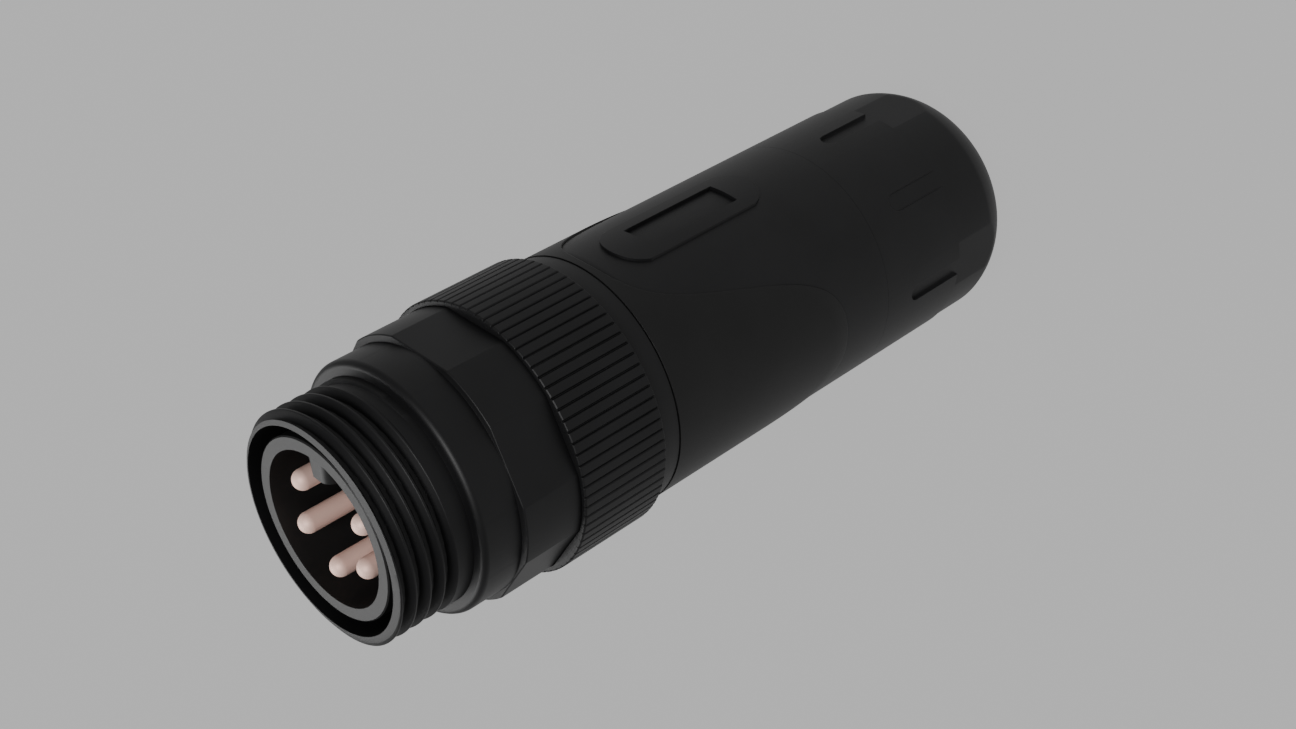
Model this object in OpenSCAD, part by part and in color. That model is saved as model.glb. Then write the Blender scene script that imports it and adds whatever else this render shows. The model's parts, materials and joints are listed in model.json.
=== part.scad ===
// Circular cable connector with a screw coupling.
// The axis is Z. The connector stands on its back nut at z = 0 and its mating face points up.
// Stations are distances behind the mating face; up(s) turns a station into a height.

/* [Coupling shell] */
// Outer diameter of the coupling thread
thread_d = 22; // [21.6:0.1:22.4]
// Pitch of the coupling thread
thread_pitch = 1.5; // [1.25:0.05:1.6]
// Depth of the coupling thread
thread_depth = 0.83; // [0.6:0.01:0.9]
// Length of the full-depth thread
thread_len = 6; // [4.5:0.25:6.5]
// Length over which the groove fades out behind the full thread
thread_runout = 0.7; // [0.4:0.05:1]
// Wall left between the thread root and the front bore
root_wall = 0.2; // [0.15:0.01:0.4]
// Length from the mating face to the stop shoulder
nose_len = 7.8; // [7.5:0.1:8.6]
// Diameter of the round collar behind the shoulder
collar_d = 24.62; // [24.2:0.02:24.8]
// Length of the round collar
collar_len = 4.2; // [3.6:0.1:5]
// Rounding of the collar's front edge
collar_edge = 0.5; // [0.3:0.1:0.8]
// Width across the wrench flats
hex_af = 24.93; // [24.84:0.01:25.1]
// Diameter over the corners of the wrench section
hex_corner_d = 26; // [25.6:0.1:26.2]
// Visible length of the wrench section
hex_len = 6.2; // [5:0.1:8]
// Wall of the shell round the body's neck
shell_wall = 1.1; // [1:0.05:1.2]

/* [Knurled ring] */
// Diameter over the knurl
knurl_d = 27.14; // [27:0.02:27.6]
// Depth of the knurl's grooves
knurl_depth = 0.25; // [0.15:0.01:0.3]
// Number of knurl grooves
knurl_count = 80; // [48:1:90]
// Turn of the first knurl groove from the straight-up position
knurl_turn = 0.5; // [0:0.1:2]
// Angle between the two sides of a knurl groove
knurl_angle = 62; // [50:1:100]
// Length of the knurled stretch
knurl_len = 9.7; // [8.5:0.1:11]
// Diameter of the plain band behind the knurl
band_d = 25.7; // [25.5:0.02:25.9]
// Length of the plain band behind the knurl
band_len = 2.65; // [2.4:0.05:3.5]
// Narrowing of the plain band towards the rear, on the radius
band_taper = 0.1; // [0:0.05:0.4]
// Depth of the six-sided socket that turns the shell
socket_len = 2.5; // [2:0.1:3.5]
// Slit between the knurled ring and the rear body
seam_gap = 0.15; // [0.1:0.05:0.5]

/* [Insert and contacts] */
// Gap between the front bore and the insert's shroud
annular_gap = 1.17; // [1:0.01:1.3]
// Wall of the insert's shroud
shroud_wall = 1.29; // [1.1:0.01:1.4]
// Distance of the shroud's rim behind the mating face
rim_recess = 0.48; // [0.2:0.02:0.8]
// Depth of the mating cavity behind the rim
cavity_depth = 10.5; // [9.6:0.1:10.6]
// Diameter of a contact pin
pin_d = 2; // [1.6:0.1:2.2]
// Diameter of the circle that the contacts stand on
pin_circle_d = 9.6; // [9:0.1:9.8]
// Contact positions on that circle, counting the one under the key
pin_positions = 6; // [6:1:6]
// Distance of the pin tips behind the mating face
tip_recess = 0.8; // [0.4:0.05:2]
// Width of the polarising key at the shroud's wall
key_w = 2.9; // [2.5:0.1:3.2]
// Width of the key's tip
key_tip_w = 2.1; // [1.8:0.05:2.3]
// Radius on which the key's tip lies
key_tip_r = 5.56; // [5.5:0.02:6.2]
// Sideways place of the middle of the key's tip
key_offset = 0.7; // [0.4:0.1:0.9]
// Rounding of the key's top along one side
key_round = 1.05; // [0.6:0.05:1.2]

/* [Rear body] */
// Diameter of the rear body
body_d = 25.06; // [24.9:0.02:25.3]
// Length of the rear body
body_len = 29.6; // [28.6:0.1:33]
// Height of the soft grip above the body
grip_rise = 0.21; // [0.1:0.01:0.4]
// Thickness of the soft grip
grip_wall = 1.3; // [1:0.05:1.5]
// Middle of the grip's wavy edge, behind the body's front
wave_mid = 12; // [11:0.1:13]
// Height of the grip's wave to each side of its middle
wave_height = 11.2; // [9:0.1:11.3]
// Steepness of the grip's wave
wave_steep = 1.45; // [0.8:0.05:2]
// Length of the raised pad
pad_len = 18.6; // [16:0.1:19]
// Width of the raised pad
pad_w = 6.3; // [5:0.1:6.5]
// Height of the raised pad above the body
pad_rise = 0.28; // [0.1:0.02:0.4]
// Distance of the pad's middle behind the body's front
pad_mid = 12.9; // [12.6:0.1:14]
// Depth of the window in the pad
window_depth = 0.36; // [0.2:0.02:0.5]
// Plain rim of the pad at the window's ends
window_end = 3.5; // [3:0.1:4.5]
// Plain rim of the pad along the window's sides
window_side = 1.38; // [1:0.02:1.6]

/* [Back nut] */
// Length of the nut's front stretch with the grip slots
nut_grip_len = 11.8; // [10.5:0.1:13]
// Step down from the front stretch to the wrench stretch
nut_step = 0.13; // [0.08:0.01:0.2]
// Length of the wrench stretch up to the rounded end
nut_wrench_len = 5.4; // [4.5:0.1:7]
// Length of the rounded end
dome_len = 5.4; // [5:0.1:6]
// Radius of the rounded end
dome_r = 7.1; // [6.9:0.05:7.2]
// Part of the quarter round that the wrench stretch trims away
dome_trim = 0.15; // [0.05:0.05:0.3]
// Depth of the nut's wrench flats below its front stretch
nut_flat_depth = 0.41; // [0.3:0.01:0.6]
// Number of grip slots round the nut
slot_count = 8; // [8:4:16]
// Width of a grip slot
slot_w = 1.84; // [1.4:0.02:2.2]
// Length of a grip slot, which is open to the rear
slot_len = 8; // [6:0.1:8.4]
// Diameter of the cable hole
cable_hole_d = 8.6; // [8.4:0.1:9.6]

/* [Inside] */
// Diameter of the cable that the seal grips
cable_d = 8; // [7:0.1:8.4]
// Radial clearance between parts that turn on each other
run_gap = 0.05; // [0.03:0.01:0.08]
// Radial clearance between parts that are fitted together
fit_gap = 0.03; // [0.02:0.01:0.05]
// Thickness of the round rubber of the O-rings
seal_d = 1.2; // [1:0.1:1.3]
// Wall of the rear body round the wiring chamber
chamber_wall = 2.83; // [2.6:0.05:2.9]
// Wall of the back nut round the spigot
nut_wall = 1.48; // [1.3:0.02:1.7]
// Length of that spigot
spigot_len = 10.2; // [9:0.1:10.6]
// Number of fingers on the clamp cage
finger_count = 8; // [6:1:12]

/* [Hidden] */
$fn = 96;

black_metal = [0.16, 0.16, 0.17];
black_plastic = [0.12, 0.12, 0.125];
soft_black = [0.1, 0.1, 0.1];
rubber_grey = [0.22, 0.22, 0.23];
copper = [0.8, 0.56, 0.46];
steel = [0.7, 0.71, 0.73];
white_plastic = [0.85, 0.85, 0.82];

over = 0.5;           // how far a cutter reaches past the face it opens
axial_gap = 0.05;     // end play between parts that turn on each other

// Stations behind the mating face, front to rear
s_hex = nose_len + collar_len;
s_ring = s_hex + hex_len;
s_socket = s_ring + socket_len;
s_band = s_ring + knurl_len;
s_ring_end = s_band + band_len;
s_body = s_ring_end + seam_gap;
s_nut = s_body + body_len;
s_step = s_nut + nut_grip_len;
s_dome = s_step + nut_wrench_len;
total_len = s_dome + dome_len;
function up(s) = total_len - s;

// Radii of the coupling shell and the insert, from the thread inwards
thread_r = thread_d / 2;
front_bore_r = thread_r - thread_depth - root_wall;
shroud_r = front_bore_r - annular_gap;
cavity_r = shroud_r - shroud_wall;
shoulder_bore_r = shroud_r + run_gap;
tail_step = 0.5;
tail_r = shroud_r - tail_step;
neck_bore_r = tail_r + fit_gap;
neck_wall = 1.9;
neck_r = neck_bore_r + neck_wall;
rear_bore_r = neck_r + run_gap;
seat_r = rear_bore_r + shell_wall;

// Insert stations
s_floor = rim_recess + cavity_depth;
flange_len = 1.8;
s_flange_end = s_floor - 0.2;
s_flange = s_flange_end - flange_len;
inner_shoulder_len = 2.6;
s_inner = s_flange_end + axial_gap;
s_inner_end = s_inner + inner_shoulder_len;
washer_t = 0.65;
s_neck = s_inner_end + washer_t + 2 * axial_gap;
pin_r = pin_d / 2;
pin_circle_r = pin_circle_d / 2;
stem_r = pin_r + 0.2;
barrel_r = pin_r + 0.6;
crimp_r = pin_r + 0.25;
s_barrel = s_floor + 2;
barrel_len = 6;
s_barrel_end = s_barrel + barrel_len;
retainer_t = 3;
s_lock_seat = s_barrel_end + retainer_t + 0.5;
lock_t = 2.5;
s_tail_end = s_lock_seat + lock_t + 0.3;
crimp_len = 8;
s_crimp_end = s_barrel_end + crimp_len;
crimp_depth = 4.5;
retainer_r = cavity_r - 0.1;

// Shell and ring stations behind the socket
shell_tail_gap = 0.5;
s_shell_end = s_ring_end - shell_tail_gap;
clip_t = 0.7;
clip_groove = 0.5;
clip_rise = 0.5;
s_clip = s_shell_end - clip_t - 0.7;
clip_slack = 0.05;

// Rear body
body_r = body_d / 2;
grip_r = body_r + grip_rise;
core_r = grip_r - grip_wall;
chamber_r = body_r - chamber_wall;
spigot_r = body_r - nut_wall - run_gap;
body_end_gap = 0.03;
s_body_end = s_nut - body_end_gap;
ledge_t = 2;
s_ledge = s_nut - 4.3;
gland_r = spigot_r - 2;
ledge_r = gland_r - 2.5;
s_spigot_end = s_nut + spigot_len;

// Back nut and cable clamp
nut_r = body_d / 2;
wrench_r = nut_r - nut_step;
nut_bore_r = spigot_r + run_gap;
hole_r = cable_hole_d / 2;
end_face_r = wrench_r - dome_r + dome_trim;
cage_r = gland_r - fit_gap;
cage_wall = 1.5;
cage_len = 14.5;
s_cage = s_ledge + ledge_t;
s_cage_end = s_cage + cage_len;
seal_r = cage_r - cage_wall;
thrust_t = 0.8;
s_thrust = s_cage_end + axial_gap;
s_nut_floor = s_thrust + thrust_t;

// A turned piece from its half section, given as [station, radius] points
module turned(section) {
    rotate_extrude() polygon([for (p = section) [p[1], up(p[0])]]);
}

// A plain tube between two stations
module tube(s0, s1, r_out, r_in) {
    translate([0, 0, up(s1)]) difference() {
        cylinder(h = s1 - s0, r = r_out);
        translate([0, 0, -over]) cylinder(h = s1 - s0 + 2 * over, r = r_in);
    }
}

// A solid rod between two stations
module rod(s0, s1, r) {
    translate([0, 0, up(s1)]) cylinder(h = s1 - s0, r = r);
}

// A solid rod whose front edge is rounded
module round_rod(s0, s1, r, edge) {
    h = s1 - s0;
    translate([0, 0, up(s1)]) rotate_extrude() {
        square([r - edge, h]);
        square([r, h - edge]);
        translate([r - edge, h - edge]) intersection() {
            circle(r = edge);
            square(edge);
        }
    }
}

// An O-ring whose outside touches the radius r_out
module o_ring(s, r_out) {
    translate([0, 0, up(s)]) rotate_extrude() translate([r_out - seal_d / 2, 0]) circle(d = seal_d, $fn = 32);
}

// The groove that an O-ring sits in, cut into a shaft of radius r_shaft
module o_ring_groove(s, r_shaft, r_out) {
    half = seal_d / 2 + 0.1;
    tube(s - half, s + half, r_shaft + over, r_out - seal_d);
}

// Turns its child from straight up (+Y) towards +X
module at_angle(a) {
    rotate([0, 0, -a]) children();
}

// Helical groove of the coupling thread: a 60 degree profile swept down the axis.
// It starts in front of the face and rises out of the metal over the run-out.
module thread_groove() {
    steps = 60;
    rise = 0.3;
    clear = 0.05;
    flank = tan(30);
    half_root = thread_pitch * 7 / 16 - thread_depth * flank;
    half_mouth = half_root + (thread_depth + rise) * flank;
    start = -1;
    count = ceil((thread_len + thread_runout - start) / thread_pitch * steps);
    function station(i) = start + i * thread_pitch / steps;
    function fade(i) = min(1, max(0, (station(i) - thread_len) / thread_runout));
    function root(i) = thread_r - thread_depth + fade(i) * (thread_depth + clear);
    points = [for (i = [0 : count])
        let (a = 90 - i * 360 / steps)
        each [for (p = [[-half_root, root(i)], [half_root, root(i)],
            [half_mouth, thread_r + rise], [-half_mouth, thread_r + rise]])
            [p[1] * cos(a), p[1] * sin(a), up(station(i) + p[0])]]];
    sides = [for (i = [0 : count - 1], k = [0 : 3])
        let (a = 4 * i + k, b = 4 * i + (k + 1) % 4)
        each [[a, a + 4, b + 4], [a, b + 4, b]]];
    last = 4 * count;
    ends = [[0, 1, 2], [0, 2, 3], [last + 2, last + 1, last], [last + 3, last + 2, last]];
    polyhedron(points = points, faces = concat(sides, ends));
}

// Six-sided bar with rounded corners; a flat faces straight up
module hex_bar(s0, s1, af, corner_r) {
    intersection() {
        rod(s0, s1, corner_r);
        translate([0, 0, up(s1)]) cylinder(h = s1 - s0, r = af / 2 / cos(30), $fn = 6);
    }
}

module coupling_shell() color(black_metal) {
    corner_r = hex_corner_d / 2;
    edge = 0.15;
    difference() {
        union() {
            difference() {
                rod(0, nose_len + over, thread_r);
                thread_groove();
            }
            round_rod(nose_len, s_hex + over, collar_d / 2, collar_edge);
            intersection() {
                hex_bar(s_hex, s_socket, hex_af, corner_r);
                turned([[s_hex, 0], [s_hex, corner_r - edge], [s_hex + edge, corner_r],
                    [s_socket, corner_r], [s_socket, 0]]);
            }
            rod(s_socket - over, s_shell_end, seat_r);
        }
        rod(-over, s_inner, front_bore_r);
        rod(s_inner - over, s_inner_end + over, shoulder_bore_r);
        rod(s_inner_end, s_shell_end + over, rear_bore_r);
        tube(s_clip - clip_slack, s_clip + clip_t + clip_slack, seat_r + over, seat_r - clip_groove);
    }
}

module knurled_ring() color(black_plastic) {
    chamfer = knurl_depth / 2;
    corner_r = hex_corner_d / 2;
    knurl_r = knurl_d / 2;
    band_r = band_d / 2;
    bore_r = seat_r + fit_gap;
    counterbore_r = seat_r + clip_rise + 0.1;
    groove_half = knurl_depth * tan(knurl_angle / 2);
    difference() {
        turned([[s_ring, 0], [s_ring, knurl_r - chamfer], [s_ring + chamfer, knurl_r],
            [s_band - chamfer, knurl_r], [s_band, knurl_r - chamfer],
            [s_band, band_r], [s_ring_end, band_r - band_taper], [s_ring_end, 0]]);
        for (i = [0 : knurl_count - 1]) at_angle(knurl_turn + i * 360 / knurl_count)
            translate([0, knurl_r, up(s_band + over)]) linear_extrude(s_band - s_ring + 2 * over)
                polygon([[0, -knurl_depth], [2 * groove_half, knurl_depth], [-2 * groove_half, knurl_depth]]);
        hex_bar(s_ring - over, s_socket + axial_gap, hex_af + 2 * fit_gap, corner_r + fit_gap);
        rod(s_ring, s_ring_end + over, bore_r);
        rod(s_clip - clip_slack, s_ring_end + over, counterbore_r);
    }
}

module ring_circlip() color(steel) {
    slot = 4;
    difference() {
        tube(s_clip, s_clip + clip_t, seat_r + clip_rise, seat_r - clip_groove + fit_gap);
        translate([-slot / 2, -seat_r - 2, up(s_clip + clip_t) - over]) cube([slot, 4, clip_t + 2 * over]);
    }
}

module face_seal() color(rubber_grey) {
    thickness = 0.8;
    tube(s_flange - thickness, s_flange, front_bore_r - 2 * run_gap, shroud_r);
}

module slide_washer() color(white_plastic) {
    tube(s_inner_end + axial_gap, s_inner_end + axial_gap + washer_t, neck_r - 2 * fit_gap, shoulder_bore_r);
}

s_coupling_seal = s_neck + 4.5;
s_carrier_seal = s_neck + 1.8;

module coupling_o_ring() color(rubber_grey) o_ring(s_coupling_seal, neck_r + run_gap / 3);

module carrier_o_ring() color(rubber_grey) o_ring(s_carrier_seal, neck_bore_r);

// Places a child at every contact, leaving out the position under the key
module each_contact() {
    for (i = [1 : pin_positions - 1]) contact_place(i) children();
}

module contact_place(i) {
    at_angle(i * 360 / pin_positions) translate([0, pin_circle_r, 0]) children();
}

// Key: a rib with one slanting and one straight flank, its top rounded over to the straight one
module key_rib() {
    x_side = key_offset + key_tip_w / 2;
    z_top = up(rim_recess);
    intersection() {
        translate([0, 0, up(s_floor + over)]) linear_extrude(cavity_depth + 2 * over)
            polygon([[x_side - key_tip_w, key_tip_r], [x_side, key_tip_r],
                [x_side, cavity_r + over], [x_side - key_w, cavity_r + over]]);
        translate([x_side - key_round, cavity_r + 2 * over, 0]) rotate([90, 0, 0]) linear_extrude(cavity_r) {
            translate([-key_w, 0]) square([key_w + key_round, z_top - key_round]);
            translate([-key_w, 0]) square([key_w, z_top]);
            translate([0, z_top - key_round]) circle(r = key_round);
        }
    }
}

module pin_carrier() color(black_plastic) {
    edge = 0.15;
    hole_r_front = stem_r + fit_gap;
    hole_r_rear = barrel_r + fit_gap;
    difference() {
        union() {
            difference() {
                union() {
                    round_rod(rim_recess, s_neck, shroud_r, edge);
                    rod(s_flange, s_flange_end, front_bore_r - run_gap);
                    rod(s_neck - over, s_tail_end, tail_r);
                }
                rod(-over, s_floor, cavity_r);
            }
            key_rib();
        }
        each_contact() rod(s_floor - over, s_barrel + over, hole_r_front);
        each_contact() rod(s_barrel, s_barrel_end + over, hole_r_rear);
        rod(s_barrel_end, s_tail_end + over, retainer_r + fit_gap);
        o_ring_groove(s_carrier_seal, tail_r, neck_bore_r);
    }
}

// One turned contact: domed pin, barrel and crimp socket
module contact(i) color(copper) contact_place(i) {
    s_dome_mid = tip_recess + pin_r;
    translate([0, 0, up(s_dome_mid)]) sphere(r = pin_r, $fn = 48);
    rod(s_dome_mid, s_floor + over, pin_r);
    rod(s_floor, s_barrel + over, stem_r);
    rod(s_barrel, s_barrel_end, barrel_r);
    difference() {
        rod(s_barrel_end - over, s_crimp_end, crimp_r);
        rod(s_crimp_end - crimp_depth, s_crimp_end + over, crimp_r - 0.4);
    }
}
module contact_pin_1() contact(1);
module contact_pin_2() contact(2);
module contact_pin_3() contact(3);
module contact_pin_4() contact(4);
module contact_pin_5() contact(5);

module contact_retainer() color(white_plastic) {
    difference() {
        rod(s_barrel_end, s_barrel_end + retainer_t, retainer_r);
        each_contact() rod(s_barrel_end - over, s_barrel_end + retainer_t + over, crimp_r + fit_gap);
    }
}

module lock_ring() color(steel) {
    slot = 2.2;
    reach = chamber_r - fit_gap;
    difference() {
        tube(s_lock_seat, s_lock_seat + lock_t, reach, neck_bore_r);
        for (a = [0, 90]) at_angle(a) translate([-slot / 2, -chamber_r, up(s_lock_seat + lock_t) - over])
            cube([slot, 2 * chamber_r, 1 + over]);
    }
}

// Region in front of the grip's wavy edge, seen from the side and cut straight through
module grip_front() {
    steps = 60;
    reach = grip_r + over;
    function edge(y) = s_body + wave_mid - wave_height
        * tanh(wave_steep * (2 * min(1, pow(y / grip_r, 2)) - 1)) / tanh(wave_steep);
    curve = [for (i = [0 : steps]) let (y = grip_r * cos(180 * i / steps)) [edge(y), y]];
    outline = concat([[s_body - over, reach], [edge(grip_r), reach]], curve,
        [[edge(grip_r), -reach], [s_body - over, -reach]]);
    translate([-reach, 0, 0]) rotate([90, 0, 90]) linear_extrude(2 * reach)
        polygon([for (p = outline) [p[1], up(p[0])]]);
}
function tanh(x) = (exp(x) - exp(-x)) / (exp(x) + exp(-x));

// Outline of the raised pad: a bar with round ends, cut off at the sides
module pad_outline() {
    end_r = pad_w / 2 + 0.15;
    intersection() {
        square([pad_w, pad_len], center = true);
        union() {
            square([pad_w + 1, pad_len - 2 * end_r], center = true);
            for (side = [-1, 1]) translate([0, side * (pad_len / 2 - end_r)]) circle(r = end_r);
        }
    }
}

module rear_body() color(black_plastic) {
    lead = 0.3;
    s_pad = s_body + pad_mid;
    pad_r = body_r + pad_rise;
    difference() {
        union() {
            round_rod(s_neck, s_body + over, neck_r, lead);
            rod(s_body, s_body_end, core_r);
            difference() {
                tube(s_body, s_body_end, body_r, core_r - over);
                grip_front();
            }
            rod(s_body_end - over, s_spigot_end, spigot_r);
            intersection() {
                rod(s_body, s_body_end, pad_r);
                translate([0, 0, up(s_pad)]) rotate([-90, 0, 0]) linear_extrude(pad_r) pad_outline();
            }
        }
        rod(s_neck - over, s_lock_seat + over, neck_bore_r);
        rod(s_lock_seat, s_ledge, chamber_r);
        rod(s_ledge - over, s_cage + over, ledge_r);
        rod(s_cage, s_spigot_end + over, gland_r);
        o_ring_groove(s_coupling_seal, neck_r, neck_r);
        o_ring_groove(s_nut_seal, spigot_r, spigot_r + nut_seal_rise);
        intersection() {
            tube(s_body, s_body_end, pad_r + over, pad_r - window_depth);
            translate([-pad_w / 2 + window_side, 0, up(s_pad) - pad_len / 2 + window_end])
                cube([pad_w - 2 * window_side, pad_r + over, pad_len - 2 * window_end]);
        }
    }
}

module grip_sleeve() color(soft_black) {
    edge = 0.2;
    intersection() {
        difference() {
            round_rod(s_body, s_body_end, grip_r, edge);
            rod(s_body - over, s_body_end + over, core_r);
        }
        grip_front();
    }
}

s_nut_seal = s_nut + 1.4;
nut_seal_rise = 0.4;
nut_seal_room = 3;

module nut_o_ring() color(rubber_grey) o_ring(s_nut_seal, spigot_r + nut_seal_rise);

module cable_seal() color(rubber_grey) {
    lip = 0.6;
    difference() {
        turned([[s_cage + lip, 0], [s_cage + lip, seal_r], [s_cage_end - 1, seal_r],
            [s_cage_end - 1, 0]]);
        rod(s_cage, s_cage_end, cable_d / 2);
    }
}

module clamp_cage() color(white_plastic) {
    slit = 1;
    root = 6;
    taper = 1.2;
    difference() {
        turned([[s_cage, seal_r], [s_cage, cage_r], [s_spigot_end, cage_r], [s_cage_end, cage_r - taper],
            [s_cage_end, seal_r]]);
        for (i = [0 : finger_count - 1]) at_angle((i + 0.5) * 360 / finger_count)
            translate([-slit / 2, 0, up(s_cage_end) - over]) cube([slit, gland_r + over, cage_len - root + over]);
    }
}

module thrust_washer() color(steel) {
    tube(s_thrust, s_nut_floor, spigot_r - 0.4, cable_d / 2 + 1);
}

// Slot through the nut's front band: round at the front, open at the rear
module grip_slot() {
    z_round = up(s_step - slot_len) - slot_w / 2;
    rotate([-90, 0, 0]) linear_extrude(nut_r + over) {
        translate([-slot_w / 2, -z_round]) square([slot_w, z_round - up(s_step) + over]);
        translate([0, -z_round]) circle(d = slot_w);
    }
}

// Core of the nut: the wrench stretch with its flats and the rounded end
module nut_core() {
    flat_y = nut_r - nut_flat_depth;
    difference() {
        union() {
            rod(s_nut, s_dome, wrench_r);
            rotate_extrude() intersection() {
                square([wrench_r, up(s_dome) + over]);
                union() {
                    translate([end_face_r, dome_r]) circle(r = dome_r);
                    square([end_face_r, up(s_dome) + over]);
                }
            }
        }
        for (a = [0 : 90 : 270]) at_angle(a)
            translate([-nut_r, flat_y, -over]) cube([2 * nut_r, nut_flat_depth + over, up(s_nut) + 2 * over]);
    }
}

module back_nut() color(black_plastic) {
    lead = 0.25;
    difference() {
        union() {
            nut_core();
            difference() {
                rod(s_nut, s_step, nut_r);
                for (i = [0 : slot_count - 1]) at_angle(i * 360 / slot_count) grip_slot();
            }
        }
        rod(s_nut - over, s_nut_floor, nut_bore_r);
        rod(s_nut - over, s_nut + nut_seal_room, nut_bore_r + nut_seal_rise);
        rod(s_nut_floor - over, total_len + over, hole_r);
        turned([[total_len - lead, 0], [total_len - lead, hole_r], [total_len, hole_r + lead],
            [total_len + over, hole_r + lead], [total_len + over, 0]]);
    }
}

coupling_shell();
knurled_ring();
ring_circlip();
face_seal();
slide_washer();
coupling_o_ring();
pin_carrier();
contact_pin_1();
contact_pin_2();
contact_pin_3();
contact_pin_4();
contact_pin_5();
contact_retainer();
lock_ring();
carrier_o_ring();
rear_body();
grip_sleeve();
nut_o_ring();
cable_seal();
clamp_cage();
thrust_washer();
back_nut();
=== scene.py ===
# %% [markdown]
# A round cable connector with a screw coupling.
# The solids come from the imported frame, where every piece already sits at its place and rides on a
# moving body. Here each piece that shows gets a finer skin with softened edges, a worked finish and light.
# The axis is +Z, the mating face points up, and +Y runs through the raised pad of the rear body.

import bmesh
import bpy
import json
import math
import numpy as np
from mathutils import Matrix, Vector

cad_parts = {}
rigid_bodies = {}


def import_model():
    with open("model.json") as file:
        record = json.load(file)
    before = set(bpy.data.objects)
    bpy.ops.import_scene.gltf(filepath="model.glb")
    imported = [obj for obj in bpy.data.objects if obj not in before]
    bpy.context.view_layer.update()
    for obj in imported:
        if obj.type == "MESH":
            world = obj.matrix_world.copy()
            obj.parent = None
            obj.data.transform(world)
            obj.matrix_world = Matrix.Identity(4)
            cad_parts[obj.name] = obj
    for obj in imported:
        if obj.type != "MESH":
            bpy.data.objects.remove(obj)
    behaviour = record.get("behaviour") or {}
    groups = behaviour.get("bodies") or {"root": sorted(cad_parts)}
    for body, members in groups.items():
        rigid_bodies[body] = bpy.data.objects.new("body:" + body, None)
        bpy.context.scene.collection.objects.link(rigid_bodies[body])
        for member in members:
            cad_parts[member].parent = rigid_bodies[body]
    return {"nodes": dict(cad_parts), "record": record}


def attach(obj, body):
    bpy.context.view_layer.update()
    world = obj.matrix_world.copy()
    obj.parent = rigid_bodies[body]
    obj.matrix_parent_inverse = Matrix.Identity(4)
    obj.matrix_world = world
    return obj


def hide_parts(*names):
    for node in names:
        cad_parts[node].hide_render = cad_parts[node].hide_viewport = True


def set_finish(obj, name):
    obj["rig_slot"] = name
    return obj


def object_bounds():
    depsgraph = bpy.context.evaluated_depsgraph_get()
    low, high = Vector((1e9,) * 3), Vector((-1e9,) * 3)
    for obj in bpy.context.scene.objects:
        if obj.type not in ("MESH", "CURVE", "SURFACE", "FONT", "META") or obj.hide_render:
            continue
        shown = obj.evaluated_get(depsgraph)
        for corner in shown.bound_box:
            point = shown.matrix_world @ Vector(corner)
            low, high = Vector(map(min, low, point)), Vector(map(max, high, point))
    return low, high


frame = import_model()
cad_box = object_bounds()
print("CAD box, mm:", [[round(v * 1000, 2) for v in corner] for corner in cad_box])

# %% [markdown]
# A turned connector is easiest to describe from its mating face backwards. So all sizes here are in
# millimetres, a station s is a distance behind that face, and an angle is counted from the pad (+Y)
# towards +X. One helper turns stations, radii and angles into points in metres.

# %% Stations and angles
length = cad_box[1].z * 1000


def point(s, r, angle):
    a = np.radians(angle)
    return np.stack([r * np.sin(a), r * np.cos(a), length - s], -1) / 1000


print("length, mm:", round(length, 2))

# %% [markdown]
# Every skin is one closed grid: columns run round the axis, and rows follow the section from the bore
# over the outside and back. A lathe tool in Blender would give plain rings, but the thread, the knurl
# and the wavy edge change with the angle, so each row may give its station and radius per column.

# %% Build a closed skin from rows
def weave(name, grid, replaced, body, slot, sharp=38):
    """Closed mesh from rows of points. Rows that shrink to a point close the ends, else the rows join up.
    An edge that turns by more degrees than sharp is shaded as a crease."""
    down, n = grid.shape[:2]
    capped = np.ptp(grid[0], axis=0).max() < 1e-9
    i, j = np.meshgrid(np.arange(down - 1 if capped else down), np.arange(n), indexing="ij")
    below, beside = (i + 1) % down, (j + 1) % n
    faces = np.stack([i * n + j, i * n + beside, below * n + beside, below * n + j], -1).reshape(-1, 4)
    mesh = bpy.data.meshes.new(name)
    mesh.from_pydata(grid.reshape(-1, 3).tolist(), [], faces.tolist())
    bm = bmesh.new()
    bm.from_mesh(mesh)
    bmesh.ops.remove_doubles(bm, verts=bm.verts, dist=1e-8)
    bmesh.ops.dissolve_degenerate(bm, edges=bm.edges, dist=1e-9)
    bmesh.ops.recalc_face_normals(bm, faces=bm.faces)
    bm.to_mesh(mesh)
    bm.free()
    mesh.polygons.foreach_set("use_smooth", [True] * len(mesh.polygons))
    mesh.set_sharp_from_angle(angle=math.radians(sharp))
    piece = bpy.data.objects.new(name, mesh)
    bpy.context.scene.collection.objects.link(piece)
    piece.modifiers.new("even_shading", "WEIGHTED_NORMAL").keep_sharp = True
    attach(piece, body)
    if replaced:
        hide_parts(*replaced)
    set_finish(piece, slot)
    print(name, len(mesh.polygons), "faces")
    return piece


def skin(name, angles, rows, replaced, body, slot):
    n = len(angles)
    grid = np.array([point(np.broadcast_to(s, n), np.broadcast_to(r, n), angles) for s, r in rows])
    return weave(name, grid, replaced, body, slot)


print("skins are woven from rows of points, with creases above 38 degrees")

# %% [markdown]
# Where a surface bends sharply it needs more columns or rows, and few elsewhere. A subdivision modifier
# would refine everything alike, so these helpers space the samples, merge lists of them without near
# doubles, and round the corner where two heights cross.

# %% Sampling helpers
def spread(start, stop, step):
    return np.linspace(start, stop, max(2, int(round((stop - start) / step)) + 1))


def merged(*parts):
    values = np.unique(np.round(np.concatenate([np.atleast_1d(p) for p in parts]), 5))
    keep = np.concatenate([[True], np.diff(values) > 4e-4])
    return values[keep]


def soft_min(a, b, width):
    return 0.5 * (a + b - np.sqrt((a - b) ** 2 + width * width))


print("spread:", spread(0, 1, 0.25), "merged:", merged(0, [0.5, 0.5001], 1))

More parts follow.
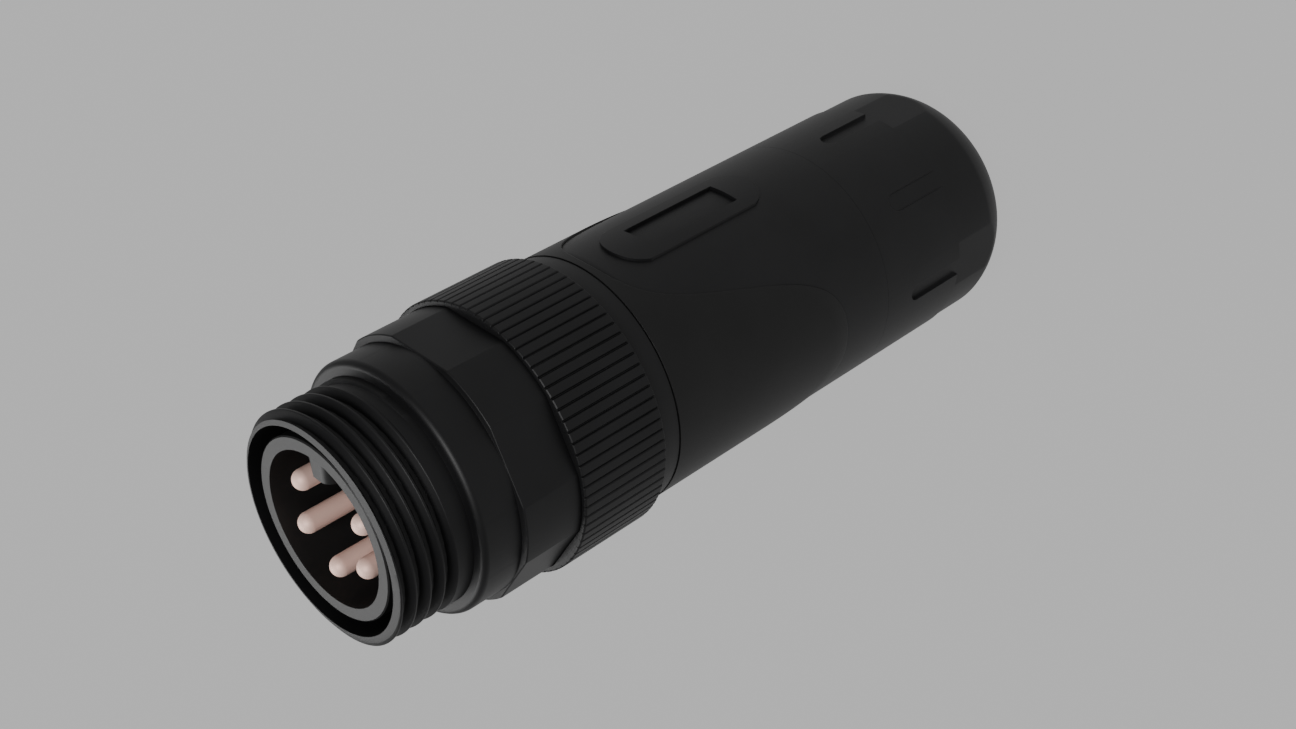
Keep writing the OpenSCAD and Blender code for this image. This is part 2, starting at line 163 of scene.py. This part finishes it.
# %% [markdown]
# The coupling shell is the metal part that screws into the mating half. Its thread is a right-hand
# groove of 60 degrees that starts in the face and fades out in front of the stop shoulder. Cutting it
# with a boolean leaves ragged triangles, so the radius is worked out for each point of the grid.

# %% Thread profile
thread_r, pitch, depth, full_thread, runout = 11.0, 1.5, 0.83, 6.0, 0.7
half_root = pitch * 7 / 16 - depth * math.tan(math.radians(30))


def thread_radius(s, angle):
    first = -1.0 + pitch * np.mod(angle, 360) / 360
    turn = np.round((s - first) / pitch)
    groove = first + turn * pitch
    away = np.abs(s - groove)
    lift = np.clip((groove - full_thread) / runout, 0, 1) * (depth + 0.05)
    flank = thread_r - depth + np.maximum(0, away - half_root) / math.tan(math.radians(30))
    return soft_min(np.maximum(flank, thread_r - depth + lift), thread_r + 0.003, 0.03)


groove = [round(float(thread_radius(s, 0.0)), 2) for s in (3, 3.4, 3.8, 4.2)]
print("thread radius at the pad's angle, mm:", groove)

# %% [markdown]
# Behind the thread come a round collar and a hexagon whose corners were turned off on the lathe. Six
# cut planes and a cylinder would give it, but a height that is the lesser of flat and corner needs no
# boolean, and one skin then runs from the bore over the thread to the skirt at the back.

# %% Hexagon and the shell's skin
bore_r, hex_flat, hex_corner = 9.97, 12.465, 13.0
collar_front, collar_r, fillet, hex_front, hex_end = 7.8, 12.31, 0.65, 12.0, 20.7
skirt_r, skirt_bore, skirt_end, inner_front, inner_end, inner_r = 11.38, 10.28, 29.9, 10.83, 13.43, 8.85


def hex_radius(angle, grow=0.0):
    off = np.mod(angle + 30, 60) - 30
    return soft_min((hex_flat + grow) / np.cos(np.radians(off)), hex_corner + grow, 0.02)


corner_half = np.array([12.8, 13.3, 13.6, 13.9])
near_corner = np.concatenate([-corner_half[::-1], corner_half])
hex_edges = np.concatenate([30 + 60 * k + near_corner for k in range(6)])
shell_angles = merged(np.arange(0, 360, 1.0), hex_edges)
hexagon = hex_radius(shell_angles)
rows = [(0.02, bore_r), (0.0, bore_r + 0.02)]
face_edge = thread_radius(0.0, shell_angles)
rows += [(0.0, np.maximum(face_edge - 0.02, bore_r + 0.06))]
rows += [(s, np.maximum(thread_radius(s, shell_angles), bore_r + 0.09)) for s in spread(0.02, 7.2, 0.035)]
rows += [(7.74, thread_r), (7.79, thread_r + 0.01), (collar_front, thread_r + 0.06)]
rows += [(collar_front, collar_r - fillet)]
rows += [(collar_front + fillet * (1 - math.cos(t)), collar_r - fillet * (1 - math.sin(t)))
         for t in np.radians(np.arange(10, 91, 10))]
rows += [(11.9, collar_r), (11.98, collar_r + 0.01), (hex_front, 12.35), (hex_front, hexagon - 0.12)]
rows += [(12.03, hexagon - 0.06), (12.08, hexagon - 0.02), (12.16, hexagon), (18.0, hexagon)]
rows += [(hex_end - 0.1, hexagon), (hex_end, hexagon - 0.1), (hex_end, 11.45), (hex_end + 0.05, skirt_r)]
rows += [(skirt_end - 0.05, skirt_r), (skirt_end, skirt_r - 0.05), (skirt_end, skirt_bore + 0.05)]
rows += [(skirt_end - 0.05, skirt_bore), (inner_end, skirt_bore), (inner_end, inner_r)]
rows += [(inner_front, inner_r), (inner_front, bore_r)]
skin("shell", shell_angles, rows, ["coupling_shell"], "coupling", "shell_black")

# %% [markdown]
# The knurled ring turns the shell by hand. Its straight knurl is a row of V grooves between flat lands.
# Eighty cut prisms would be heavy to build, and a bump map would vanish at the outline, so the radius
# dips at each groove and the columns crowd where a flank begins and ends.

# %% Knurled ring
ring_front, ring_band, ring_end, clip_room, ring_seat_r = 18.2, 28.05, 30.58, 28.45, 11.41
knurl_r, knurl_depth, knurl_half_w, knurl_count, knurl_turn = 13.57, 0.25, 0.15, 80, 0.5
groove_pitch, groove_half = 360 / knurl_count, math.degrees(knurl_half_w / knurl_r)
local = np.array([-1.25, -1.06, -0.94, -0.5, -0.12, 0.12, 0.5, 0.94, 1.06, 1.25]) * groove_half
across = np.concatenate([local, [1.4, 2.25, 3.1]])
ring_angles = merged(*[knurl_turn + groove_pitch * k + across for k in range(knurl_count)])
ring_angles = np.mod(ring_angles, 360)
ring_angles.sort()
away = np.abs(np.mod(ring_angles - knurl_turn + groove_pitch / 2, groove_pitch) - groove_pitch / 2)
land = knurl_r - knurl_depth * np.clip(1 - away / groove_half, 0, 1)
knurled = soft_min(land, knurl_r + 0.002, 0.02)
pocket = hex_radius(ring_angles, 0.03)
blunt_r = knurl_r - knurl_depth / 2
blunt = soft_min(knurled, blunt_r, 0.01)
end_steps = (0.02, 0.05, 0.09, 0.125, 0.16)
rows = [(ring_front + 0.04, pocket), (ring_front, pocket + 0.04), (ring_front, blunt - 0.02)]
rows += [(ring_front + d, soft_min(knurled, blunt_r + d, 0.01)) for d in end_steps]
rows += [(s, knurled) for s in (18.5, 20.0, 23.0, 26.0, 27.6)]
rows += [(ring_band - d, soft_min(knurled, blunt_r + d, 0.01)) for d in end_steps[::-1]]
rows += [(ring_band, blunt - 0.02), (ring_band, 12.9), (ring_band + 0.05, 12.85), (ring_end, 12.66)]
rows += [(ring_end, 12.03), (ring_end - 0.05, 11.98), (clip_room, 11.98), (clip_room, ring_seat_r)]
rows += [(hex_end + 0.05, ring_seat_r), (hex_end + 0.05, pocket)]
skin("knurled_grip", ring_angles, rows, ["knurled_ring"], "coupling", "ring_black")

# %% [markdown]
# The soft grip is moulded over the rear body. Its edge is a wave that was cut straight through from the
# side, so it dips at the pad and reaches back at the flanks. A curve projected on a cylinder would do,
# but here both skins share one function for the edge, so they meet with an even seam.

# %% The grip's wavy edge
body_front, body_end, body_r, grip_r, core_r = 30.7, 60.28, 12.53, 12.74, 11.44
wave_mid, wave_height, wave_steep, edge_gap = 12.0, 11.2, 1.6, 0.03


def wave(angle):
    c = np.cos(np.radians(2 * angle))
    return body_front + wave_mid - wave_height * np.tanh(wave_steep * c) / math.tanh(wave_steep)


print("the grip ends at station", round(float(wave(0)), 2), "by the pad, mm")
print("and at station", round(float(wave(90)), 2), "on the flanks, mm")

# %% [markdown]
# The soft skin is a thin sleeve with a rounded rear lip. A solidify modifier would thicken a cut sheet
# evenly, but the lip's rounding needs its own rows, so sleeve, lip and bore are one closed skin.

# %% Soft grip
grip_angles = np.arange(0, 360, 0.75)
edge = wave(grip_angles)
rows = [(body_front, core_r), (body_front, grip_r - 0.01), (body_front + 0.01, grip_r)]
rows += [(body_front + (edge - 0.12 - body_front) * f, grip_r) for f in np.linspace(0.05, 1, 14)]
rows += [(edge - 0.07, grip_r - 0.01), (edge - 0.04, grip_r - 0.03)]
rows += [(edge - edge_gap, grip_r - 0.08), (edge - edge_gap, core_r)]
skin("soft_grip", grip_angles, rows, ["grip_sleeve"], "connector", "grip_soft")

# %% [markdown]
# The rear body is a plain round housing behind the wave. Its rows follow the wave at the flanks and go
# straight across near the pad. Under the pad's window it dips, because the window is the deeper one.

# %% Rear body
pad_mid, pad_half_w, pad_r = 43.6, 3.15, 12.81
window_half, window_half_w, window_r, tuck, dip_depth = 5.8, 1.77, 12.45, 0.5, 0.3
neck_front, neck_r, neck_bore, chamber_front, chamber_r = 14.25, 10.23, 8.35, 22.5, 9.7
spigot_r, spigot_end, gland_r, ledge_front, ledge_end, ledge_r = 11.0, 70.5, 8.98, 56.0, 58.0, 6.5


def rise(distance, width):
    t = np.clip(0.5 - distance / width, 0, 1)
    return t * t * (3 - 2 * t)


tuck_edge = math.degrees((window_half_w + tuck) / body_r)
tuck_columns = [tuck_edge, tuck_edge + 0.2, 360 - tuck_edge, 359.8 - tuck_edge]
body_angles = merged(np.arange(0, 360, 1.0), tuck_columns)
off_pad = np.abs((body_angles + 180) % 360 - 180)
w = rise(28 - off_pad, 24)
edge = wave(body_angles)
dip_ends = [pad_mid + d * (window_half + tuck + e) for d, e in ((-1, 0.02), (-1, 0), (1, 0), (1, 0.02))]
fixed = [32.3, 33.2, 34.2, 35.5, *dip_ends[:2], 39, 42, 45, 48, *dip_ends[2:], 51, 53, 55, 57, 59]
rows = [(14.5, neck_r - 0.03), (14.8, neck_r), (30.2, neck_r), (body_front, neck_r), (body_front, core_r)]
rows += [(edge + edge_gap, core_r), (edge + edge_gap, body_r - 0.05)]
rows += [(edge + 0.045, body_r - 0.015), (edge + 0.08, body_r)]
for f, s in zip(np.linspace(0.01, 0.99, len(fixed)), fixed):
    station = (1 - w) * s + w * (edge + 0.12 + (body_end - 0.2 - edge - 0.12) * f)
    dip = (off_pad < tuck_edge + 0.1) & (dip_ends[1] - 0.01 < s < dip_ends[2] + 0.01)
    rows.append((station, body_r - dip_depth * dip))
rows += [(body_end, body_r), (body_end, spigot_r), (spigot_end - 0.2, spigot_r), (spigot_end, spigot_r - 0.2)]
rows += [(spigot_end, gland_r), (ledge_end, gland_r), (ledge_end, ledge_r), (ledge_front, ledge_r)]
rows += [(ledge_front, chamber_r), (chamber_front, chamber_r), (chamber_front, neck_bore)]
rows += [(neck_front, neck_bore), (neck_front, 9.95)]
skin("rear_housing", body_angles, rows, ["rear_body"], "connector", "body_black")

# %% [markdown]
# The pad is a raised island for a marking strip, with a shallow window in it. On the body's own grid its
# round ends would turn into steps, so it is a piece of its own: loops that run round the outline, found
# by sending a ray from the pad's middle in each direction, and lifted onto the cylinder.

# %% Raised pad with its window
end_r, end_mid = 3.3, 6.0
shoulder = end_mid + math.sqrt(end_r**2 - pad_half_w**2)
corners = [math.atan2(window_half, window_half_w), math.atan2(shoulder, pad_half_w)]
quarter = merged(np.linspace(0, math.pi / 2, 46), corners)
half_turn = np.concatenate([quarter[:-1], math.pi - quarter[:0:-1]])
rays = np.concatenate([half_turn, math.pi + half_turn])
along_x, along_s = np.abs(np.cos(rays)), np.abs(np.sin(rays))


def outer_reach(grow):
    side = (pad_half_w + grow) / np.maximum(along_x, 1e-9)
    under = (end_mid * along_s) ** 2 - end_mid**2 + (end_r + grow) ** 2
    past = end_mid * along_s + np.sqrt(np.maximum(under, 0))
    return np.where(side * along_s > end_mid, np.minimum(side, past), side)


def window_reach(grow):
    side = (window_half_w + grow) / np.maximum(along_x, 1e-9)
    return np.minimum(side, (window_half + grow) / np.maximum(along_s, 1e-9))


def loop(reach, r):
    x, s = reach * np.cos(rays), pad_mid + reach * np.sin(rays)
    return np.stack([x, np.sqrt(r**2 - x**2), length - s], -1) / 1000


outer, inner, buried_r = outer_reach(-0.02), window_reach(0.02), body_r - 0.25
loops = [loop(0 * rays, buried_r), loop(outer_reach(0), buried_r), loop(outer_reach(0), pad_r - 0.02)]
loops += [loop(outer + (inner - outer) * f, pad_r) for f in (0, 0.04, 0.25, 0.5, 0.75, 0.96, 1)]
loops += [loop(window_reach(0), pad_r - 0.02)]
loops += [loop(window_reach(0) * f, window_r) for f in (1, 0.96, 0.7, 0.4, 0)]
weave("raised_pad", np.array(loops), [], "connector", "body_black")

# %% [markdown]
# The back nut clamps the cable. Eight shallow slots give a grip, four flats take a wrench, and the end
# is a quarter round that runs into a small flat ring. Slots and flats are again written as heights,
# because a slot's floor is flat while the nut is round, and only a true height shows that well.

# %% Back nut's heights
nut_front, nut_step, nut_end, nut_r, wrench_r = 60.3, 71.7, 82.9, 12.53, 12.4
flat_at, slot_front, slot_half_w, slot_count, flat_count = 12.12, 64.1, 0.92, 8, 4
dome_r, ring_r, hole_r, seal_room_r, seal_room_end = 7.1, 5.45, 4.3, 11.45, 63.3
nut_bore, nut_floor = 11.05, 73.35


def nut_core(s, angle):
    reach = np.clip(s - (nut_end - dome_r), 0, dome_r)
    turned = soft_min(wrench_r, ring_r + np.sqrt(dome_r**2 - reach**2), 0.02)
    quarter = np.radians(np.mod(angle + 45, 90) - 45)
    return soft_min(turned, flat_at / np.cos(quarter), 0.02)


def nut_band(s, angle):
    off = np.mod(angle + 22.5, 45) - 22.5
    x, ahead = np.abs(nut_r * np.sin(np.radians(off))), max(0.0, slot_front + slot_half_w - s)
    sunk = rise(np.hypot(x, ahead) - slot_half_w, 0.06)
    return nut_r + sunk * (nut_core(s, angle) - nut_r)


print("a slot's floor lies at radius", round(float(nut_core(68.0, 0.0)), 2), "mm, the nut's own is", nut_r)

# %% [markdown]
# The heights now need samples in the right places. Columns crowd at each slot's walls and at each flat's
# edges, and rows crowd at the slots' round ends and on the dome. An even grid of the same fineness
# would need many times the faces.

# %% Back nut's skin
half_slot = math.degrees(slot_half_w / nut_r)
near_edge = np.array([-0.4, -0.24, -0.16, -0.08, 0, 0.08, 0.16, 0.24, 0.4])
slot_columns = merged(spread(-half_slot, half_slot, 0.35), half_slot + near_edge, -half_slot + near_edge)
flat_edge = math.degrees(math.acos(flat_at / wrench_r))
near_flat = np.array([-0.4, -0.15, 0, 0.15, 0.4])
flat_columns = [90 * k + d * flat_edge + near_flat for k in range(flat_count) for d in (-1, 1)]
slots_at = 45 * np.arange(slot_count)
between = [a + np.arange(6, 40, 2.0) for a in slots_at]
columns = merged(*[a + slot_columns for a in slots_at], *flat_columns, *between)
nut_angles = np.unique(np.round(np.mod(columns, 360), 4))
band_stations = merged([60.4, 61, 62.5, 63.8], spread(64.0, 65.15, 0.05), [66, 68, 70, 71.6])
core_stations = merged([73, 75, 76.5], spread(77.0, 82.2, 0.2), spread(82.25, 82.86, 0.06))
rows = [(nut_front + 0.06, seal_room_r), (nut_front, seal_room_r + 0.05), (nut_front, nut_r)]
rows += [(s, nut_band(s, nut_angles)) for s in band_stations]
band_end, core_start = nut_band(nut_step, nut_angles), nut_core(nut_step, nut_angles)
rows += [(nut_step, band_end), (nut_step, core_start), (nut_step + 0.05, core_start)]
rows += [(s, nut_core(s, nut_angles)) for s in core_stations]
rows += [(nut_end, ring_r + 0.15), (nut_end, ring_r), (nut_end, hole_r + 0.25), (nut_end - 0.25, hole_r)]
rows += [(nut_floor, hole_r), (nut_floor, nut_bore), (seal_room_end, nut_bore), (seal_room_end, seal_room_r)]
skin("nut", nut_angles, rows, ["back_nut"], "nut", "nut_black")

# %% [markdown]
# The insert is one moulded piece: a shroud round the contacts, a floor that holds them, and a long tail
# behind. It is plain and turned in form, so a lathe profile is enough, given here as rows.

# %% Insert
rim, floor, cavity_r, shroud_r = 0.48, 10.98, 7.51, 8.80
flange_front, flange_end, flange_r = 8.95, 10.78, 9.92
tail_front, tail_end, tail_r, tail_bore, tail_floor = 14.15, 25.28, 8.3, 7.42, 18.98
insert_angles = np.arange(0, 360, 1.5)
rows = [(floor, 0.0), (floor, 2.0), (floor, 4.0), (floor, cavity_r - 0.1), (floor - 0.1, cavity_r)]
rows += [(rim + 0.02, cavity_r), (rim, cavity_r + 0.02), (rim, shroud_r - 0.12), (rim + 0.12, shroud_r)]
rows += [(flange_front, shroud_r), (flange_front + 0.03, flange_r - 0.02), (9.05, flange_r)]
rows += [(flange_end, flange_r), (flange_end, shroud_r), (tail_front, shroud_r), (tail_front + 0.03, tail_r)]
rows += [(tail_end, tail_r), (tail_end, tail_bore), (tail_floor, tail_bore), (tail_floor, 0.0)]
skin("insert", insert_angles, rows, ["pin_carrier"], "connector", "insert_black")

# %% [markdown]
# A key rib on the shroud's inner wall lets the mating half in one way only. A box with a bevel modifier
# comes close, but the rib has one soft shoulder and one hard one, and both widen towards the wall. So
# its section is drawn at several distances from the axis, and the sections are joined up.

# %% Key rib
key_side, key_tip_r, key_tip_w, key_wall_w, key_round = 1.75, 5.56, 2.1, 2.9, 1.05
key_foot = cavity_r + 0.5


def key_section(y, inset):
    """Closed section of the rib at a distance y from the axis, from its left foot to its right one."""
    f = (y - key_tip_r) / (key_foot - key_tip_r)
    left = key_side - key_tip_w - (key_wall_w - key_tip_w) * f + inset
    side, top, r = key_side - inset, rim - 0.002 + inset, key_round - inset
    bevel = 0.02 + 0.5 * f
    line = [(left, floor + 0.2), (left, top + 0.45 * bevel), (left + bevel, top)]
    arc = np.radians(np.arange(0, 91, 7.5))
    line += [(side - r + r * math.sin(a), top + r - r * math.cos(a)) for a in arc]
    return [(x / 1000, y / 1000, (length - s) / 1000) for x, s in line + [(side, floor + 0.2)]]


key_rows = [key_section(key_tip_r, 0.02), key_section(key_tip_r + 0.02, 0)]
key_rows += [key_section(y, 0) for y in (5.7, 6.2, 6.8, 7.4, 7.6)]
tip_middle, wall_middle = np.mean(key_rows[0], axis=0), np.mean(key_rows[-1], axis=0)
ends = [[tuple(middle)] * len(key_rows[0]) for middle in (tip_middle, wall_middle)]
weave("key_rib", np.array([ends[0], *key_rows, ends[1]]), [], "connector", "insert_black", sharp=20)

# %% [markdown]
# The five contacts are turned pins with domed tips, and hollow behind for the crimped wires. They stand
# in five of six places on a circle, and the key takes the sixth. Copies of one mesh would do, but each
# pin takes the place of its own solid, so each gets its own skin, moved out to the circle.

# %% Contact pins
pin_circle_r, pin_places, tip_middle = 4.8, 6, 1.8
stem_r, barrel_r, crimp_r, crimp_bore = 1.2, 1.6, 1.25, 0.85
barrel_front, barrel_end, pin_end, crimp_floor = 12.98, 18.98, 26.98, 22.48
pin_angles = np.arange(0, 360, 7.5)
pin_rows = [(tip_middle - math.cos(t), math.sin(t)) for t in np.radians(np.arange(0, 91, 7.5))]
pin_rows += [(floor - 0.01, 1.0), (floor + 0.01, stem_r), (barrel_front, stem_r), (barrel_front, barrel_r)]
pin_rows += [(barrel_end, barrel_r), (barrel_end, crimp_r), (pin_end - 0.08, crimp_r)]
pin_rows += [(pin_end, crimp_r - 0.08), (pin_end, crimp_bore), (crimp_floor, crimp_bore), (crimp_floor, 0.0)]
for k in range(1, pin_places):
    pin = skin("pin_%d" % k, pin_angles, pin_rows, ["contact_pin_%d" % k], "connector", "contact_metal")
    a = math.radians(360 / pin_places * k)
    out = pin_circle_r / 1000
    pin.data.transform(Matrix.Translation((out * math.sin(a), out * math.cos(a), 0)))

# %% [markdown]
# The finishes. Black moulded plastic and coated metal look alike from afar: what tells them apart is the
# grain, how wide the highlight spreads and a faint unevenness in both. Each finish is built from noise
# in the object's own space, so it stays put when a part turns, and it has no picture in it.

# %% Helper: a grained finish
blotch, bump_depth = 180.0, 0.00002


def finish(name, dark, light, rough, grain, bump, metal=0.0, specular=0.28):
    m = bpy.data.materials.new(name)
    m.use_nodes = True
    nodes, links = m.node_tree.nodes, m.node_tree.links
    shader = nodes["Principled BSDF"]
    shader.inputs["Metallic"].default_value = metal
    shader.inputs["Specular IOR Level"].default_value = specular
    place = nodes.new("ShaderNodeTexCoord")

    def noise(scale, detail):
        n = nodes.new("ShaderNodeTexNoise")
        n.inputs["Scale"].default_value = scale
        n.inputs["Detail"].default_value = detail
        links.new(place.outputs["Object"], n.inputs["Vector"])
        return n.outputs["Fac"]

    tone = nodes.new("ShaderNodeValToRGB")
    tone.color_ramp.elements[0].color = (*dark, 1)
    tone.color_ramp.elements[1].color = (*light, 1)
    tone.color_ramp.elements[0].position, tone.color_ramp.elements[1].position = 0.3, 0.7
    links.new(noise(blotch, 4), tone.inputs["Fac"])
    links.new(tone.outputs["Color"], shader.inputs["Base Color"])
    sheen = nodes.new("ShaderNodeMapRange")
    sheen.inputs["To Min"].default_value, sheen.inputs["To Max"].default_value = rough[0], rough[1]
    fine = noise(grain, 3)
    links.new(fine, sheen.inputs["Value"])
    links.new(sheen.outputs["Result"], shader.inputs["Roughness"])
    relief = nodes.new("ShaderNodeBump")
    relief.inputs["Strength"].default_value = bump
    relief.inputs["Distance"].default_value = bump_depth
    links.new(fine, relief.inputs["Height"])
    links.new(relief.outputs["Normal"], shader.inputs["Normal"])
    print("finish", name)
    return m


print("grain is raised by up to", bump_depth * 1000, "mm")

# %% [markdown]
# Each piece carries the name of its material slot, and each slot has one finish: coated metal, moulded
# and soft plastic, copper-coloured contacts, rubber, nylon, spring steel and brass. Picking materials
# by hand would miss a piece now and then, so they are dealt out by slot, to solids and skins alike.

# %% Finishes by material slot
jet = (0.004, 0.004, 0.0043), (0.006, 0.006, 0.0065)
recipes = {
    "shell_black": (*jet, (0.42, 0.52), 9000, 0.12),
    "ring_black": (*jet, (0.44, 0.54), 9000, 0.15),
    "insert_black": ((0.008, 0.008, 0.008), (0.012, 0.012, 0.012), (0.4, 0.5), 9000, 0.15),
    "body_black": (*jet, (0.44, 0.54), 8000, 0.2),
    "grip_soft": ((0.004, 0.004, 0.004), (0.006, 0.006, 0.006), (0.46, 0.56), 7000, 0.25),
    "nut_black": (*jet, (0.44, 0.54), 8000, 0.2),
    "contact_metal": ((0.84, 0.57, 0.49), (0.90, 0.63, 0.54), (0.55, 0.65), 6000, 0.1, 0.35, 0.1),
    "seal_rubber": ((0.008, 0.008, 0.008), (0.014, 0.014, 0.014), (0.6, 0.75), 5000, 0.3),
    "white_nylon": ((0.7, 0.7, 0.66), (0.8, 0.8, 0.77), (0.45, 0.6), 4000, 0.2),
    "spring_steel": ((0.5, 0.5, 0.52), (0.62, 0.62, 0.64), (0.25, 0.4), 5000, 0.15, 1.0),
    "ring_brass": ((0.6, 0.45, 0.2), (0.72, 0.56, 0.28), (0.25, 0.4), 5000, 0.15, 1.0),
}
finishes = {name: finish(name, *recipe) for name, recipe in recipes.items()}
slots = {part["node"]: part["material_slot"] for part in frame["record"]["subparts"]}
for node, obj in frame["nodes"].items():
    obj.data.materials.clear()
    obj.data.materials.append(finishes[slots[node]])
for obj in bpy.context.scene.objects:
    if obj.type == "MESH" and "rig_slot" in obj:
        obj.data.materials.append(finishes[obj["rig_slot"]])

# %% [markdown]
# The floor under the nut is plain and pale. A lit floor would be brighter near the lights and the black
# sides, which mirror it, would show that. So it is almost black and gives off an even light of its own.

# %% Floor
bpy.ops.mesh.primitive_plane_add(size=6, location=(0, 0, -0.0002))
ground = bpy.context.object
ground.name = "floor"
pale = bpy.data.materials.new("floor_pale")
pale.use_nodes = True
paint = pale.node_tree.nodes["Principled BSDF"]
paint.inputs["Base Color"].default_value = (0.02, 0.02, 0.02, 1)
paint.inputs["Roughness"].default_value = 1.0
paint.inputs["Specular IOR Level"].default_value = 0.0
paint.inputs["Emission Color"].default_value = (1, 1, 1, 1)
paint.inputs["Emission Strength"].default_value = 0.545
ground.data.materials.append(pale)

print("floor glow:", paint.inputs["Emission Strength"].default_value)

# %% [markdown]
# The camera looks down over the mating face, and its long lens keeps the cylinder's sides nearly
# parallel. A track-to constraint could aim it, but it also lies on its side, so its axes are given.

# %% Camera
ahead = Vector((-0.578496, -0.578744, -0.574802)).normalized()
right = Vector((0.705699, -0.001713, -0.70851)).normalized()
up = right.cross(ahead)
turn = Matrix((right, up, -ahead)).transposed()
camera = bpy.data.objects.new("camera", bpy.data.cameras.new("camera"))
camera.data.sensor_width = 36
camera.data.lens = 51.49
camera.data.clip_start = 0.01
camera.matrix_world = Matrix.Translation((0.104126, 0.101866, length / 1000 + 0.064262)) @ turn.to_4x4()
bpy.context.scene.collection.objects.link(camera)
bpy.context.scene.camera = camera

print("camera lens, mm:", round(camera.data.lens, 2))

# %% [markdown]
# Black plastic shows its form by what it mirrors. A large soft light behind the connector lies in the
# mirror direction of the mating face and the shoulders and picks out their rims, and a smaller one
# above rounds the sides. A single lamp would leave the far edges lost, so a weak even sky fills in.

# %% Lights
def softbox(name, place, aim, size, power):
    light = bpy.data.objects.new(name, bpy.data.lights.new(name, "AREA"))
    light.data.shape, light.data.size, light.data.energy = "SQUARE", size, power
    light.location = place
    light.rotation_euler = (Vector(aim) - Vector(place)).to_track_quat("-Z", "Y").to_euler()
    bpy.context.scene.collection.objects.link(light)
    return light


world = bpy.data.worlds.new("studio")
bpy.context.scene.world = world
world.use_nodes = True
world.node_tree.nodes["Background"].inputs["Color"].default_value = (1, 1, 1, 1)
world.node_tree.nodes["Background"].inputs["Strength"].default_value = 0.25
softbox("back_light", (-0.45, -0.45, 0.75), (0, 0, 0.06), 0.8, 7.5)
softbox("top_light", (0.35, 0.35, 0.8), (0, 0, 0.06), 0.4, 6.8)
print("lights set")
